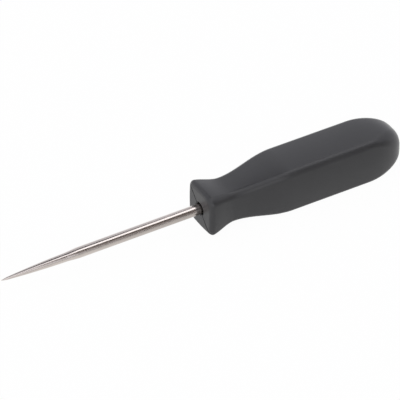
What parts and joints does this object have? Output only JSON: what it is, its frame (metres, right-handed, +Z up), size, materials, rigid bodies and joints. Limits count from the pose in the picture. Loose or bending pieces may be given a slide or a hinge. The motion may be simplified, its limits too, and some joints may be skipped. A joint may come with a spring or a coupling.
{
  "type": "straight pick",
  "caption": "Straight pick: a plated steel shank ground to a fine point, its winged tang held in a waisted square handle of moulded halves pegged on a diagonal seam, for scribing and piercing.",
  "frame": {"origin": "on the shank's axis, where the shank leaves the handle's front face", "axes": "+X along the tool from the point to the handle's domed end, +Z up with two of the handle's faces level"},
  "size_m": [0.163, 0.019, 0.019],
  "materials": {
    "plated_steel": "polished nickel plate",
    "black_plastic": "satin moulded"
  },
  "bodies": {
    "root": {"pick_shank": "plated_steel", "upper_handle_half": "black_plastic", "lower_handle_half": "black_plastic"}
  },
  "joints": []
}
